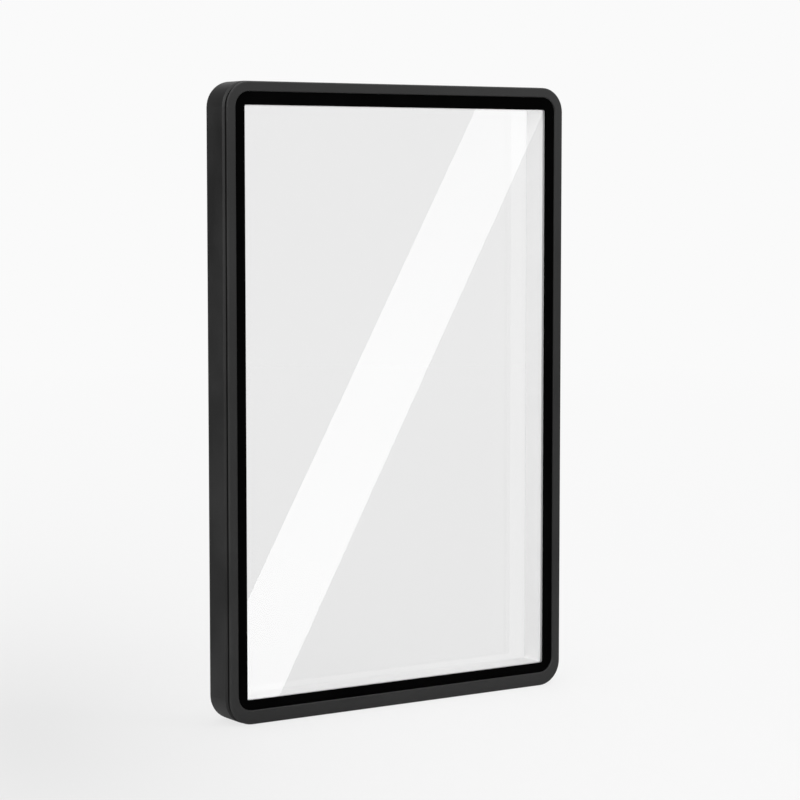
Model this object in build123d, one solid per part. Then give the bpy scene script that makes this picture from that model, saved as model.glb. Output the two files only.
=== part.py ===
from build123d import *
import os

# Trading card display case: a magnetic two-frame case for one slabbed card.
# Millimetres. +Z is up, the front faces -Y, and the origin is the middle of the
# face that the case stands on. Every ring of the case is the outline of the case
# moved inwards by an "inset", between two depths measured back from the front face.

# ---- driving dimensions ----
WIDTH = 94.7
HEIGHT = 148.0
DEPTH = 10.6
CORNER_RADIUS = 6.0

BEZEL = 2.4                 # visible metal around each window, as an inset
BEZEL_SILL = 0.95           # the bezel's bottom rail is this much wider than the others
WINDOW_INSET = 4.9          # outline to the sides of the clear view
WINDOW_HEAD = 0.55          # the clear view ends this much further in at the top
WINDOW_SILL = 0.8           # and this much further in at the bottom
REAR_VIEW_INSET = 4.1       # the rear surround stays clear of slanting views through the liner
SHELF_INSET = 3.9           # inner edge of the metal that the panes are bonded to
FIT_GAP = 0.1               # clearance between pieces that slide together
WINDOW_CORNER = 0.4         # inside corners of surrounds and liner

FRONT_EDGE_ROUND = 0.25
REAR_EDGE_ROUND = 1.8
BEZEL_BREAK = 0.15          # small bevel around the inner edge of each bezel
SHELL_CHAMFER = 0.45        # outer front edge of the rear frame

RIM_INSET = 0.1             # the cover is this much smaller than the rear frame
RIM_THICKNESS = 0.4         # outer rim of the cover
SHADOW_GAP = 1.25           # open groove between the rim and the rear frame
SHADOW_GAP_INSET = 1.3      # how far in the groove's floor lies
SEAT_INSET = 1.9            # inner face of the wall that the cover drops into

SURROUND_RECESS = 0.35      # the surrounds lie this far below the bezels
FRONT_SURROUND_THICKNESS = 0.5
REAR_SURROUND_THICKNESS = 0.4
PANE_THICKNESS = 1.2
PANE_GAP = 0.1              # around the edge of each pane
TAPE_THICKNESS = 0.15
TAPE_OUTER_INSET = 2.65
TAPE_INNER_INSET = 3.75
SHELF_THICKNESS = 1.3       # the cover's shelf, which holds its magnets

MAGNET_LENGTH = 10.0
MAGNET_WIDTH = 1.5
MAGNET_THICKNESS = 1.0
MAGNET_INSET = 2.95         # centre line of the magnets
MAGNET_PLAY = 0.05          # glue line around each magnet
MAGNET_SPACING = 46.0       # between the three magnets of a long side

# ---- depths worked out from them, front face = 0 ----
SEAT_DEPTH = RIM_THICKNESS + SHADOW_GAP
FRONT_PANE_FRONT = SURROUND_RECESS + FRONT_SURROUND_THICKNESS
FRONT_PANE_BACK = FRONT_PANE_FRONT + PANE_THICKNESS
FRONT_SHELF = FRONT_PANE_BACK + TAPE_THICKNESS
COVER_BACK = FRONT_SHELF + SHELF_THICKNESS
LEDGE_DEPTH = COVER_BACK + FIT_GAP
REAR_PANE_BACK = DEPTH - SURROUND_RECESS - REAR_SURROUND_THICKNESS
REAR_PANE_FRONT = REAR_PANE_BACK - PANE_THICKNESS
REAR_SHELF = REAR_PANE_FRONT - TAPE_THICKNESS
LINER_FRONT = FRONT_PANE_BACK + FIT_GAP
LINER_BACK = REAR_PANE_FRONT
OVERCUT = 1.0               # how far a cutting block runs past a face


def block(inset, front, back, sill=0.0, head=0.0, corner=None):
    """The case's outline between two depths, moved in by inset all round, and further in by
    sill at the bottom and by head at the top."""
    radius = CORNER_RADIUS - inset if corner is None else corner
    middle_z = (HEIGHT + sill - head) / 2
    back_plane = Plane(origin=(0, back - DEPTH / 2, middle_z), x_dir=(1, 0, 0), z_dir=(0, -1, 0))
    outline = RectangleRounded(WIDTH - 2 * inset, HEIGHT - 2 * inset - sill - head, radius)
    return extrude(back_plane * outline, amount=back - front)


def view_block(inset, front, back, corner=None):
    """A block in line with the clear view, which lies further in at the bottom and the top."""
    return block(inset, front, back, WINDOW_SILL, WINDOW_HEAD, corner)


def front_face(solid):
    return solid.faces().sort_by(Axis.Y)[0]


def back_face(solid):
    return solid.faces().sort_by(Axis.Y)[-1]


def magnet_sites():
    """Name, x, z and whether the magnet runs along X, for every magnet pair."""
    side_x = WIDTH / 2 - MAGNET_INSET
    end_z = HEIGHT / 2 - MAGNET_INSET
    sites = []
    for side, sign in (("left", -1), ("right", 1)):
        for level, step in (("upper", 1), ("middle", 0), ("lower", -1)):
            z = HEIGHT / 2 + step * MAGNET_SPACING
            sites.append((f"{side}_{level}", sign * side_x, z, False))
    sites.append(("top", 0, HEIGHT / 2 + end_z, True))
    sites.append(("bottom", 0, HEIGHT / 2 - end_z, True))
    return sites


def magnet(x, z, along_x, front, play=0.0):
    """A block magnet with its front face at depth front, or its pocket where play is given."""
    long_side = MAGNET_LENGTH + 2 * play
    short_side = MAGNET_WIDTH + 2 * play
    size_x, size_z = (long_side, short_side) if along_x else (short_side, long_side)
    middle = front + MAGNET_THICKNESS / 2 - DEPTH / 2
    return Pos(x, middle, z) * Box(size_x, MAGNET_THICKNESS, size_z)


def make_front_frame():
    rim = block(RIM_INSET, 0, RIM_THICKNESS)
    rim = fillet(front_face(rim).edges(), FRONT_EDGE_ROUND)
    neck = block(SHADOW_GAP_INSET, FRONT_EDGE_ROUND, SEAT_DEPTH)
    spigot = block(SEAT_INSET + FIT_GAP, FRONT_EDGE_ROUND, COVER_BACK)
    frame = rim + neck + spigot
    frame -= block(BEZEL, -OVERCUT, FRONT_SHELF, BEZEL_SILL)
    frame -= view_block(SHELF_INSET, -OVERCUT, COVER_BACK + OVERCUT)
    frame = chamfer(front_face(frame).inner_wires()[0].edges(), BEZEL_BREAK)
    for name, x, z, along_x in magnet_sites():
        frame -= magnet(x, z, along_x, COVER_BACK - MAGNET_THICKNESS, MAGNET_PLAY)
    return frame


def make_rear_frame():
    frame = block(0, SEAT_DEPTH, DEPTH)
    frame = chamfer(front_face(frame).edges(), SHELL_CHAMFER)
    frame = fillet(back_face(frame).edges(), REAR_EDGE_ROUND)
    frame -= block(SEAT_INSET, SEAT_DEPTH - OVERCUT, LEDGE_DEPTH)
    frame -= view_block(SHELF_INSET, SEAT_DEPTH, DEPTH + OVERCUT)
    frame -= block(BEZEL, REAR_SHELF, DEPTH + OVERCUT, BEZEL_SILL)
    frame = chamfer(back_face(frame).inner_wires()[0].edges(), BEZEL_BREAK)
    for name, x, z, along_x in magnet_sites():
        frame -= magnet(x, z, along_x, LEDGE_DEPTH, MAGNET_PLAY)
    return frame


def clear_view(inset, front, back):
    """The space that is open to the eye, run past both depths so that it cuts a ring through."""
    return view_block(inset, front - OVERCUT, back + OVERCUT, WINDOW_CORNER)


def make_pane(front):
    return block(BEZEL + PANE_GAP, front, front + PANE_THICKNESS, BEZEL_SILL)


def make_surround(view_inset, front, thickness):
    ring = block(BEZEL + PANE_GAP, front, front + thickness, BEZEL_SILL)
    return ring - clear_view(view_inset, front, front + thickness)


def make_tape(front):
    ring = block(TAPE_OUTER_INSET, front, front + TAPE_THICKNESS, BEZEL_SILL)
    return ring - view_block(TAPE_INNER_INSET, front - OVERCUT, front + TAPE_THICKNESS + OVERCUT)


def make_slab_liner():
    ring = view_block(SHELF_INSET + FIT_GAP, LINER_FRONT, LINER_BACK)
    return ring - clear_view(WINDOW_INSET, LINER_FRONT, LINER_BACK)


nodes = {
    "front_frame": make_front_frame(),
    "front_window_surround": make_surround(
        WINDOW_INSET, SURROUND_RECESS, FRONT_SURROUND_THICKNESS
    ),
    "front_window_pane": make_pane(FRONT_PANE_FRONT),
    "front_window_tape": make_tape(FRONT_PANE_BACK),
    "slab_liner": make_slab_liner(),
    "rear_frame": make_rear_frame(),
    "rear_window_tape": make_tape(REAR_SHELF),
    "rear_window_pane": make_pane(REAR_PANE_FRONT),
    "rear_window_surround": make_surround(
        REAR_VIEW_INSET, REAR_PANE_BACK, REAR_SURROUND_THICKNESS
    ),
}
for site, site_x, site_z, site_along_x in magnet_sites():
    cover_front = COVER_BACK - MAGNET_THICKNESS
    nodes[f"front_magnet_{site}"] = magnet(site_x, site_z, site_along_x, cover_front)
    nodes[f"rear_magnet_{site}"] = magnet(site_x, site_z, site_along_x, LEDGE_DEPTH)

os.makedirs("parts", exist_ok=True)
for node_name, solid in nodes.items():
    solid.label = node_name
    export_step(solid, f"parts/{node_name}.step")
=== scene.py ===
import math

import bmesh
import bpy
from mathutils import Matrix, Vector


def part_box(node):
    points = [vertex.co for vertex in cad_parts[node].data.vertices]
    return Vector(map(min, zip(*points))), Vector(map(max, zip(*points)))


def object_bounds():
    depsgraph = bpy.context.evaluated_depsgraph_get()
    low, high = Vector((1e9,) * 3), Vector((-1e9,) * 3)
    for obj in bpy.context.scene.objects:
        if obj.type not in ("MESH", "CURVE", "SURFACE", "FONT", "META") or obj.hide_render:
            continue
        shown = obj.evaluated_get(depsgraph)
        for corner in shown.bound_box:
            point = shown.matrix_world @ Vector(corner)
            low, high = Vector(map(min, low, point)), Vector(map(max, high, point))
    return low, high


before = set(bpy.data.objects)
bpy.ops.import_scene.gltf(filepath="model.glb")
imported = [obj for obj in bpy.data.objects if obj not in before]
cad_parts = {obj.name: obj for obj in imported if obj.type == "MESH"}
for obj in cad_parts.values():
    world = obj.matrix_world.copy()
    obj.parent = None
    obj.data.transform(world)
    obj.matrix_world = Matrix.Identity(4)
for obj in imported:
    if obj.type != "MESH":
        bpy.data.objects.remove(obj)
cad_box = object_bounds()

# Trading card display case: black anodised frames, clear panes behind matt black
# surrounds, and a pale soft liner between them. Metres; the front faces -Y.

MM = 0.001
CASE_LOW, CASE_HIGH = cad_box
CASE_WIDTH = CASE_HIGH[0] - CASE_LOW[0]
CASE_HEIGHT = CASE_HIGH[2] - CASE_LOW[2]
CASE_MIDDLE = Vector((0.0, 0.0, CASE_HEIGHT / 2))
CORNER_RADIUS = 6.0 * MM

# ---- camera ----
CAMERA_TURN = math.radians(-33.47)
CAMERA_TILT = math.radians(4.99)
CAMERA_DISTANCE = 0.6108
CAMERA_AIM = CASE_MIDDLE + Vector((2.97, 0.0, -1.10)) * MM
CAMERA_LENS = 114.5
SENSOR = 36.0
CLIP_START = 0.01

# ---- room: brightness, and directions as parts of a vector of length 1 ----
PALE = 0.956                    # backdrop and floor as they are seen
ROOM_LEVEL = 0.80               # soft light from all round
MIRROR_LEVEL = 0.45             # the dimmer room that the clear panes mirror
SHEEN_LOW = 0.10                # what satin surfaces reflect from the dim walls
SHEEN_HIGH = 1.55               # and from the ceiling
CEILING_RISE = 0.6              # a direction that rises this much meets the full ceiling
DARK_CORNER = Vector((-0.55, 0.83, 0.0))    # towards a darker corner, left behind the case
CORNER_SHARE = 0.10             # the share of the sheen that is left in that corner
CORNER_EDGE, CORNER_CORE = 0.2, 0.75    # how far along DARK_CORNER it starts and is full

# ---- lamps: name, place, width, height, watts ----
LAMPS = (
    ("key_light", Vector((0.55, 0.65, 1.05)), 0.8, 0.8, 1.5),
    ("left_light", Vector((-0.95, -0.6, 0.45)), 0.7, 0.7, 4.0),
    ("front_light", Vector((0.74, -0.82, 0.50)), 0.5, 0.3, 2.4),
)

# ---- floor ----
FLOOR_REACH = 6.0
FLOOR_COLOUR = 0.90
FLOOR_GLOW = 0.82               # share of the near floor that is seen at the backdrop's brightness
GLOW_START, GLOW_END = 0.35, 1.1        # from the origin: the floor turns into the backdrop
SHEEN_FLOOR = 0.28              # what satin surfaces reflect from the floor further out
SHEEN_POOL = (0.035, -0.055, 0.0)       # middle of the brighter floor, before the case
POOL_START, POOL_END = 0.02, 0.15       # from SHEEN_POOL: where it fades
SHADE_MIDDLE = (-92 * MM, 10 * MM, 0.0)     # soft shade painted on the floor, left of the case
SHADE_REACH = (140 * MM, 46 * MM, 1.0)      # along and across
SHADE_TURN = math.radians(66)
SHADE_DEPTH = 0.145
SHADE_ROUNDING = 0.08           # rounds the peak of the shade

# ---- the bright band that the front pane mirrors, on the pane: x, z ----
BAND_TOP_LEFT = (23.1 * MM, 144.7 * MM)
BAND_TOP_RIGHT = (43.5 * MM, 144.7 * MM)
BAND_LOW_LEFT = (-65.7 * MM, -13.0 * MM)
BAND_LOW_RIGHT = (-44.1 * MM, -13.0 * MM)
BAND_CARD_Y = -0.45
BAND_BRIGHTNESS = 3.35          # at the upper end of the card
BAND_LOW_BRIGHTNESS = 4.85      # and at its lower end

# ---- finishes ----
PATCH_LOW, PATCH_HIGH = 0.35, 0.65      # range of the patches that is used
GRAIN_LOW, GRAIN_HIGH = 0.3, 0.7        # range of the grain that is used
BUMP_REACH = 0.02 * MM
FRONT_BLACK, FRONT_EDGE = 0.018, 0.032  # grey of the cover's anodising and of its edges
# the rear frame's anodising, darker than the cover's same anodising: painted shade on its side
# walls
REAR_SHADED_BLACK, REAR_SHADED_EDGE = 0.011, 0.024
ANODISED_ROUGHNESS = 0.42
ROUGHNESS_SPREAD = 0.04
TONE_SPREAD = 0.06
PALE_EDGE_FULL, PALE_EDGE_END = 0.1 * MM, 0.55 * MM       # paler band along the edges, measured in from the outline
PALE_EDGE_LEAST = 0.2                # share of the paling in the patches where it is least
PALE_EDGE_PATCH_LOW, PALE_EDGE_PATCH_HIGH = 0.4, 0.6
PANE_IOR = 1.49
PANE_CLARITY = 0.968            # share of the light that the pane itself lets through
SURFACE_CLARITY = 0.96          # share of the light that passes each face of a pane
NICKEL_WARMTH = 0.03

NO_BOUNCE = 0.5                 # a ray with fewer bounces than this has had none


# ---------------------------------------------------------------- node helpers


def add(tree, kind, inputs=None, **settings):
    """A node with its settings, and its inputs set to values or joined to sockets."""
    made = tree.nodes.new(kind)
    for name, value in settings.items():
        setattr(made, name, value)
    for name, value in (inputs or {}).items():
        if isinstance(value, bpy.types.NodeSocket):
            tree.links.new(value, made.inputs[name])
        else:
            made.inputs[name].default_value = value
    return made


def math_node(tree, operation, first, second=0.0, third=0.0):
    inputs = {0: first, 1: second, 2: third}
    return add(tree, "ShaderNodeMath", inputs, operation=operation).outputs[0]


def ramp(tree, factor, low, high, start, end):
    """Maps factor from start..end to low..high, held at both ends."""
    return add(
        tree,
        "ShaderNodeMapRange",
        {"Value": factor, "From Min": start, "From Max": end, "To Min": low, "To Max": high},
    ).outputs["Result"]


def blend_value(tree, factor, first, second):
    return add(tree, "ShaderNodeMix", {0: factor, 2: first, 3: second}).outputs[0]


def blend_colour(tree, factor, first, second):
    inputs = {0: factor, 6: first, 7: second}
    return add(tree, "ShaderNodeMix", inputs, data_type="RGBA").outputs[2]


def blend_shader(tree, factor, first, second):
    inputs = {0: factor, 1: first, 2: second}
    return add(tree, "ShaderNodeMixShader", inputs).outputs["Shader"]


def grey(level, warm=0.0):
    return (level * (1 + warm), level, level * (1 - warm), 1.0)


def new_group(name, inputs, outputs):
    """A shader node group with float inputs {name: default} and outputs {name: socket type}."""
    tree = bpy.data.node_groups.new(name, "ShaderNodeTree")
    for label, default in inputs.items():
        socket = tree.interface.new_socket(label, in_out="INPUT", socket_type="NodeSocketFloat")
        socket.default_value = default
    for label, kind in outputs.items():
        tree.interface.new_socket(label, in_out="OUTPUT", socket_type=kind)
    entry = tree.nodes.new("NodeGroupInput")
    leave = tree.nodes.new("NodeGroupOutput")
    return tree, entry.outputs, leave.inputs


def new_material(name):
    """A material with its Principled BSDF."""
    material = bpy.data.materials.new(name)
    material.use_nodes = True
    tree = material.node_tree
    return material, tree, tree.nodes["Principled BSDF"]


def new_staging_material(name):
    """A material with no nodes but its output, whose input comes last."""
    material = bpy.data.materials.new(name)
    material.use_nodes = True
    tree = material.node_tree
    tree.nodes.clear()
    leave = tree.nodes.new("ShaderNodeOutputMaterial")
    return material, tree, leave.inputs["Surface"]


# ---------------------------------------------------------------- shared effects


def make_blasted_grain():
    """Fine even grain of a bead-blasted surface, with slow patches of tone."""
    tree, given, result = new_group(
        "blasted_grain",
        {"Grain Size": 0.25 * MM, "Patch Size": 18 * MM},
        {"Height": "NodeSocketFloat", "Patches": "NodeSocketFloat"},
    )
    place = add(tree, "ShaderNodeTexCoord").outputs["Object"]
    grain_scale = math_node(tree, "DIVIDE", 1.0, given["Grain Size"])
    grain = add(
        tree,
        "ShaderNodeTexNoise",
        {"Vector": place, "Scale": grain_scale, "Detail": 2.0, "Roughness": 0.6},
    )
    patch_scale = math_node(tree, "DIVIDE", 1.0, given["Patch Size"])
    patches = add(
        tree,
        "ShaderNodeTexNoise",
        {"Vector": place, "Scale": patch_scale, "Detail": 3.0, "Roughness": 0.5},
    )
    tree.links.new(grain.outputs["Fac"], result["Height"])
    tree.links.new(patches.outputs["Fac"], result["Patches"])
    return tree


def make_outline_inset():
    """How far inside the case's rounded outline a point lies, seen from the front."""
    tree, given, result = new_group(
        "outline_inset",
        {
            "Half Width": CASE_WIDTH / 2,
            "Half Height": CASE_HEIGHT / 2,
            "Corner Radius": CORNER_RADIUS,
        },
        {"Inset": "NodeSocketFloat"},
    )
    place = add(tree, "ShaderNodeTexCoord").outputs["Object"]
    axes = add(tree, "ShaderNodeSeparateXYZ", {"Vector": place}).outputs
    across = math_node(tree, "ABSOLUTE", axes["X"])
    from_middle = math_node(tree, "SUBTRACT", axes["Z"], CASE_HEIGHT / 2)
    along = math_node(tree, "ABSOLUTE", from_middle)
    flat_width = math_node(tree, "SUBTRACT", given["Half Width"], given["Corner Radius"])
    flat_height = math_node(tree, "SUBTRACT", given["Half Height"], given["Corner Radius"])
    past_x = math_node(tree, "SUBTRACT", across, flat_width)
    past_z = math_node(tree, "SUBTRACT", along, flat_height)
    out_x = math_node(tree, "MAXIMUM", past_x, 0.0)
    out_z = math_node(tree, "MAXIMUM", past_z, 0.0)
    corner = add(tree, "ShaderNodeCombineXYZ", {"X": out_x, "Y": out_z})
    reach = add(
        tree, "ShaderNodeVectorMath", {0: corner.outputs["Vector"]}, operation="LENGTH"
    ).outputs["Value"]
    larger = math_node(tree, "MAXIMUM", past_x, past_z)
    inside = math_node(tree, "MINIMUM", larger, 0.0)
    distance = math_node(tree, "ADD", reach, inside)
    inset = math_node(tree, "SUBTRACT", given["Corner Radius"], distance)
    tree.links.new(inset, result["Inset"])
    return tree


blasted_grain = make_blasted_grain()
outline_inset = make_outline_inset()


# ---------------------------------------------------------------- finishes


def new_grained_material(name, grain_size, patch_size, relief, bump_reach=BUMP_REACH):
    """A material with the grain as its bump, and the grain's Height and Patches."""
    material, tree, shader = new_material(name)
    grain = add(
        tree,
        "ShaderNodeGroup",
        {"Grain Size": grain_size, "Patch Size": patch_size},
        node_tree=blasted_grain,
    ).outputs
    bump = add(
        tree,
        "ShaderNodeBump",
        {"Height": grain["Height"], "Strength": relief, "Distance": bump_reach},
    )
    tree.links.new(bump.outputs["Normal"], shader.inputs["Normal"])
    return material, tree, shader, grain


def patch_tone(tree, grain):
    return ramp(tree, grain["Patches"], 0.0, 1.0, PATCH_LOW, PATCH_HIGH)


def anodised(name, level, edge_level):
    """Black anodised aluminium: fine blasted grain, slow tone patches, paler edges."""
    material, tree, shader, grain = new_grained_material(
        name, grain_size=0.22 * MM, patch_size=22 * MM, relief=0.25
    )
    inset = add(tree, "ShaderNodeGroup", node_tree=outline_inset).outputs["Inset"]
    dark, light = grey(level * (1 - TONE_SPREAD)), grey(level * (1 + TONE_SPREAD))
    body = blend_colour(tree, patch_tone(tree, grain), dark, light)
    rim = ramp(tree, inset, 1.0, 0.0, PALE_EDGE_FULL, PALE_EDGE_END)
    patchy = ramp(tree, grain["Patches"], PALE_EDGE_LEAST, 1.0, PALE_EDGE_PATCH_LOW, PALE_EDGE_PATCH_HIGH)
    paled = math_node(tree, "MULTIPLY", rim, patchy)
    tree.links.new(blend_colour(tree, paled, body, grey(edge_level)), shader.inputs["Base Color"])
    smooth, rough = ANODISED_ROUGHNESS - ROUGHNESS_SPREAD, ANODISED_ROUGHNESS + ROUGHNESS_SPREAD
    roughness = ramp(tree, grain["Patches"], smooth, rough, PATCH_LOW, PATCH_HIGH)
    tree.links.new(roughness, shader.inputs["Roughness"])
    shader.inputs["Specular IOR Level"].default_value = 0.3
    return material


def matt_black(name):
    """Deep matt black moulded trim with a fine spark-eroded texture."""
    material, tree, shader, grain = new_grained_material(
        name, grain_size=0.15 * MM, patch_size=12 * MM, relief=0.3, bump_reach=0.015 * MM
    )
    colour = blend_colour(tree, patch_tone(tree, grain), grey(0.0006), grey(0.0011))
    tree.links.new(colour, shader.inputs["Base Color"])
    roughness = ramp(tree, grain["Height"], 0.75, 0.95, GRAIN_LOW, GRAIN_HIGH)
    tree.links.new(roughness, shader.inputs["Roughness"])
    shader.inputs["Specular IOR Level"].default_value = 0.015
    return material


def clear_pane(name):
    """Clear polished pane that lets the light of the room and the lamps through to the liner."""
    material, tree, shader = new_material(name)
    shader.inputs["Base Color"].default_value = grey(PANE_CLARITY)
    shader.inputs["Roughness"].default_value = 0.0
    shader.inputs["IOR"].default_value = PANE_IOR
    shader.inputs["Transmission Weight"].default_value = 1.0
    let_through = add(tree, "ShaderNodeBsdfTransparent", {"Color": grey(SURFACE_CLARITY)})
    path = add(tree, "ShaderNodeLightPath").outputs
    lighting = math_node(tree, "MAXIMUM", path["Is Shadow Ray"], path["Is Diffuse Ray"])
    mixed = blend_shader(tree, lighting, shader.outputs["BSDF"], let_through.outputs["BSDF"])
    tree.links.new(mixed, tree.nodes["Material Output"].inputs["Surface"])
    return material


def bonding_tape(name):
    """Black double-sided tape with a faint fibre pattern."""
    material, tree, shader, grain = new_grained_material(
        name, grain_size=0.4 * MM, patch_size=6 * MM, relief=0.4
    )
    colour = blend_colour(tree, grain["Height"], grey(0.008), grey(0.02))
    tree.links.new(colour, shader.inputs["Base Color"])
    roughness = ramp(tree, grain["Patches"], 0.45, 0.6, GRAIN_LOW, GRAIN_HIGH)
    tree.links.new(roughness, shader.inputs["Roughness"])
    return material


def soft_liner(name):
    """Pale grey soft-touch liner."""
    material, tree, shader, grain = new_grained_material(
        name, grain_size=0.3 * MM, patch_size=15 * MM, relief=0.3
    )
    colour = blend_colour(tree, patch_tone(tree, grain), grey(0.93), grey(0.95))
    tree.links.new(colour, shader.inputs["Base Color"])
    roughness = ramp(tree, grain["Height"], 0.55, 0.7, GRAIN_LOW, GRAIN_HIGH)
    tree.links.new(roughness, shader.inputs["Roughness"])
    shader.inputs["Specular IOR Level"].default_value = 0.25
    return material


def nickel(name):
    """Bright nickel plating with the fine even marks of tumbling."""
    material, tree, shader, grain = new_grained_material(
        name, grain_size=0.2 * MM, patch_size=4 * MM, relief=0.15
    )
    dark, light = grey(0.58, NICKEL_WARMTH), grey(0.66, NICKEL_WARMTH)
    tree.links.new(blend_colour(tree, grain["Patches"], dark, light), shader.inputs["Base Color"])
    roughness = ramp(tree, grain["Height"], 0.24, 0.36, GRAIN_LOW, GRAIN_HIGH)
    tree.links.new(roughness, shader.inputs["Roughness"])
    shader.inputs["Metallic"].default_value = 1.0
    return material


finishes = {
    "front_frame": anodised("front_frame_anodised", FRONT_BLACK, FRONT_EDGE),
    # the cover's anodising made darker: painted shade on the rear frame's side walls
    "rear_frame": anodised("rear_frame_anodised", REAR_SHADED_BLACK, REAR_SHADED_EDGE),
    "window_surround": matt_black("surround_matt_black"),
    "window_pane": clear_pane("pane_clear"),
    "window_tape": bonding_tape("tape_black"),
    "slab_liner": soft_liner("liner_pale_grey"),
    "magnet": nickel("magnet_nickel"),
}


def finish_for(node_name):
    return next(material for words, material in finishes.items() if words in node_name)


for node_name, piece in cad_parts.items():
    piece.data.materials.clear()
    piece.data.materials.append(finish_for(node_name))


# ---------------------------------------------------------------- floor and band card


def flat_piece(name, corners):
    """A one-face mesh object on the given corners."""
    shape = bmesh.new()
    shape.faces.new([shape.verts.new(corner) for corner in corners])
    shape.normal_update()
    mesh = bpy.data.meshes.new(name)
    shape.to_mesh(mesh)
    shape.free()
    made = bpy.data.objects.new(name, mesh)
    bpy.context.scene.collection.objects.link(made)
    return made


def split_light_paths(tree):
    """Masks for a ray seen straight or through the panes, mirrored by a pane, and rough."""
    path = add(tree, "ShaderNodeLightPath").outputs
    unscattered = math_node(tree, "LESS_THAN", path["Diffuse Depth"], NO_BOUNCE)
    unmirrored = math_node(tree, "LESS_THAN", path["Glossy Depth"], NO_BOUNCE)
    direct = math_node(tree, "MAXIMUM", path["Is Camera Ray"], path["Is Transmission Ray"])
    open_path = math_node(tree, "MULTIPLY", unscattered, unmirrored)
    seen = math_node(tree, "MULTIPLY", direct, open_path)
    reflected = math_node(tree, "SUBTRACT", unscattered, open_path)
    mirrored = math_node(tree, "MULTIPLY", reflected, path["Is Singular Ray"])
    satin = math_node(tree, "SUBTRACT", reflected, mirrored)
    return seen, mirrored, satin


def painted_floor_shade(tree, place):
    """1 over most of the floor, a little less in the soft shade painted on the floor left of the
    case.
    """
    from_shade = add(
        tree,
        "ShaderNodeMapping",
        {
            "Vector": place,
            "Location": SHADE_MIDDLE,
            "Rotation": (0.0, 0.0, SHADE_TURN),
            "Scale": SHADE_REACH,
        },
        vector_type="TEXTURE",
    ).outputs["Vector"]
    squared = add(
        tree, "ShaderNodeVectorMath", {0: from_shade, 1: from_shade}, operation="DOT_PRODUCT"
    ).outputs["Value"]
    rounded = math_node(tree, "ADD", squared, SHADE_ROUNDING)
    away = math_node(tree, "SQRT", rounded)
    fade = math_node(tree, "POWER", math.exp(-1), away)
    depth_at_peak = SHADE_DEPTH * math.exp(math.sqrt(SHADE_ROUNDING))
    return math_node(tree, "MULTIPLY_ADD", fade, -depth_at_peak, 1.0)


def make_floor():
    """A pale floor that keeps the shadow near the case and fades into the backdrop.

    The panes mirror the dim room through it, so that they stay even down to the sill.
    """
    reach = FLOOR_REACH
    corners = [(-reach, -reach, 0), (reach, -reach, 0), (reach, reach, 0), (-reach, reach, 0)]
    floor = flat_piece("floor", corners)
    material, tree, surface = new_staging_material("floor_pale")
    place = add(tree, "ShaderNodeTexCoord").outputs["Object"]
    away = add(tree, "ShaderNodeVectorMath", {0: place}, operation="LENGTH").outputs["Value"]
    from_pool = add(
        tree, "ShaderNodeVectorMath", {0: place, 1: SHEEN_POOL}, operation="DISTANCE"
    ).outputs["Value"]
    seen, mirrored, satin = split_light_paths(tree)
    glow = ramp(tree, away, FLOOR_GLOW, 1.0, GLOW_START, GLOW_END)
    dim = ramp(tree, from_pool, 0.0, 1.0, POOL_START, POOL_END)
    seen_share = math_node(tree, "MULTIPLY", seen, glow)
    share = math_node(tree, "MULTIPLY_ADD", satin, dim, seen_share)
    level = math_node(tree, "MULTIPLY_ADD", seen, PALE - SHEEN_FLOOR, SHEEN_FLOOR)
    # painted shade: the floor's colour and its glow are darkened in a soft patch left of the case
    tone = painted_floor_shade(tree, place)
    lit_colour = math_node(tree, "MULTIPLY", tone, FLOOR_COLOUR)
    lit = add(tree, "ShaderNodeBsdfDiffuse", {"Color": lit_colour}).outputs["BSDF"]
    painted_shade_level = math_node(tree, "MULTIPLY", level, tone)
    bright = add(tree, "ShaderNodeEmission", {"Strength": painted_shade_level}).outputs["Emission"]
    clear = add(tree, "ShaderNodeBsdfTransparent").outputs["BSDF"]
    shown = blend_shader(tree, share, lit, bright)
    tree.links.new(blend_shader(tree, mirrored, shown, clear), surface)
    floor.data.materials.append(material)
    return floor


def camera_place():
    forward = Vector(
        (
            -math.sin(CAMERA_TURN) * math.cos(CAMERA_TILT),
            math.cos(CAMERA_TURN) * math.cos(CAMERA_TILT),
            -math.sin(CAMERA_TILT),
        )
    )
    return CAMERA_AIM - forward * CAMERA_DISTANCE, forward


def make_band_card():
    """A bright card that the front pane mirrors to the camera as a slanting band."""
    pane_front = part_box("front_window_pane")[0].y
    eye, _ = camera_place()
    mirrored_eye = Vector((eye.x, 2 * pane_front - eye.y, eye.z))
    reach = (BAND_CARD_Y - mirrored_eye.y) / (pane_front - mirrored_eye.y)
    corners = []
    for x, z in (BAND_LOW_LEFT, BAND_LOW_RIGHT, BAND_TOP_RIGHT, BAND_TOP_LEFT):
        on_pane = Vector((x, pane_front, z))
        corners.append(mirrored_eye + (on_pane - mirrored_eye) * reach)
    card = flat_piece("band_card", corners)
    material, tree, surface = new_staging_material("band_card_light")
    path = add(tree, "ShaderNodeLightPath").outputs
    first_mirror = math_node(tree, "LESS_THAN", path["Transmission Depth"], NO_BOUNCE)
    sharp = math_node(tree, "MULTIPLY", path["Is Singular Ray"], first_mirror)
    place = add(tree, "ShaderNodeTexCoord").outputs["Object"]
    height = add(tree, "ShaderNodeSeparateXYZ", {"Vector": place}).outputs["Z"]
    low, high = min(corner.z for corner in corners), max(corner.z for corner in corners)
    strength = ramp(tree, height, BAND_LOW_BRIGHTNESS, BAND_BRIGHTNESS, low, high)
    light = add(tree, "ShaderNodeEmission", {"Strength": strength}).outputs["Emission"]
    clear = add(tree, "ShaderNodeBsdfTransparent").outputs["BSDF"]
    tree.links.new(blend_shader(tree, sharp, clear, light), surface)
    card.data.materials.append(material)
    card.visible_camera = False
    card.visible_shadow = False
    card.visible_diffuse = False
    card.visible_transmission = False
    return card


make_floor()
make_band_card()


# ---------------------------------------------------------------- light


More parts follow.
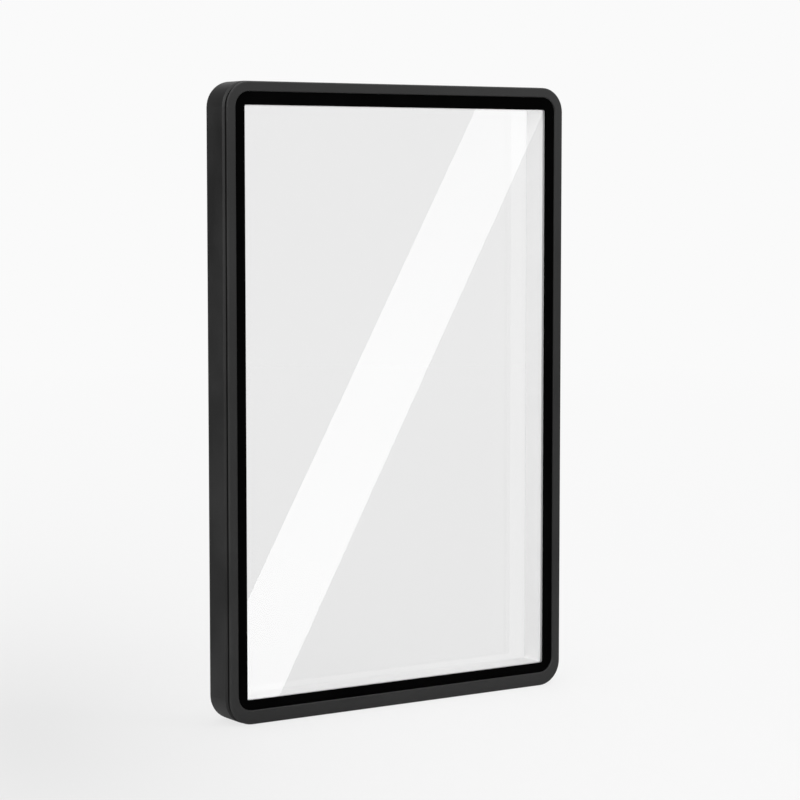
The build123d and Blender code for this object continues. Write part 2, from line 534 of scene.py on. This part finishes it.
def make_room():
    """Pale backdrop to the eye, soft light all round, and a dimmer room in reflections."""
    world = bpy.data.worlds.new("room")
    bpy.context.scene.world = world
    world.use_nodes = True
    tree = world.node_tree
    tree.nodes.clear()
    seen, mirrored, satin = split_light_paths(tree)
    direction = add(tree, "ShaderNodeTexCoord").outputs["Generated"]
    towards_dark = add(
        tree,
        "ShaderNodeVectorMath",
        {0: direction, 1: DARK_CORNER},
        operation="DOT_PRODUCT",
    ).outputs["Value"]
    height = add(tree, "ShaderNodeSeparateXYZ", {"Vector": direction}).outputs["Z"]
    upward = ramp(tree, height, SHEEN_LOW, SHEEN_HIGH, 0.0, CEILING_RISE)
    cornered = ramp(tree, towards_dark, 1.0, CORNER_SHARE, CORNER_EDGE, CORNER_CORE)
    sheen = math_node(tree, "MULTIPLY", upward, cornered)
    level = blend_value(tree, seen, ROOM_LEVEL, PALE)
    level = blend_value(tree, mirrored, level, MIRROR_LEVEL)
    level = blend_value(tree, satin, level, sheen)
    room = add(tree, "ShaderNodeBackground", {"Color": grey(1.0), "Strength": level})
    leave = tree.nodes.new("ShaderNodeOutputWorld")
    tree.links.new(room.outputs["Background"], leave.inputs["Surface"])


def soft_light(name, place, width, height, watts):
    """A rectangular lamp that points at the middle of the case."""
    lamp = bpy.data.lights.new(name, "AREA")
    lamp.shape = "RECTANGLE"
    lamp.size = width
    lamp.size_y = height
    lamp.energy = watts
    made = bpy.data.objects.new(name, lamp)
    made.location = place
    made.rotation_euler = (CASE_MIDDLE - place).to_track_quat("-Z", "Y").to_euler()
    bpy.context.scene.collection.objects.link(made)


make_room()
for lamp_facts in LAMPS:
    soft_light(*lamp_facts)


# ---------------------------------------------------------------- camera


def make_camera():
    lens = bpy.data.cameras.new("camera")
    lens.lens = CAMERA_LENS
    lens.sensor_width = SENSOR
    lens.clip_start = CLIP_START
    made = bpy.data.objects.new("camera", lens)
    place, forward = camera_place()
    made.location = place
    made.rotation_euler = forward.to_track_quat("-Z", "Y").to_euler()
    bpy.context.scene.collection.objects.link(made)
    bpy.context.scene.camera = made


make_camera()
bpy.context.scene.view_settings.view_transform = "Standard"
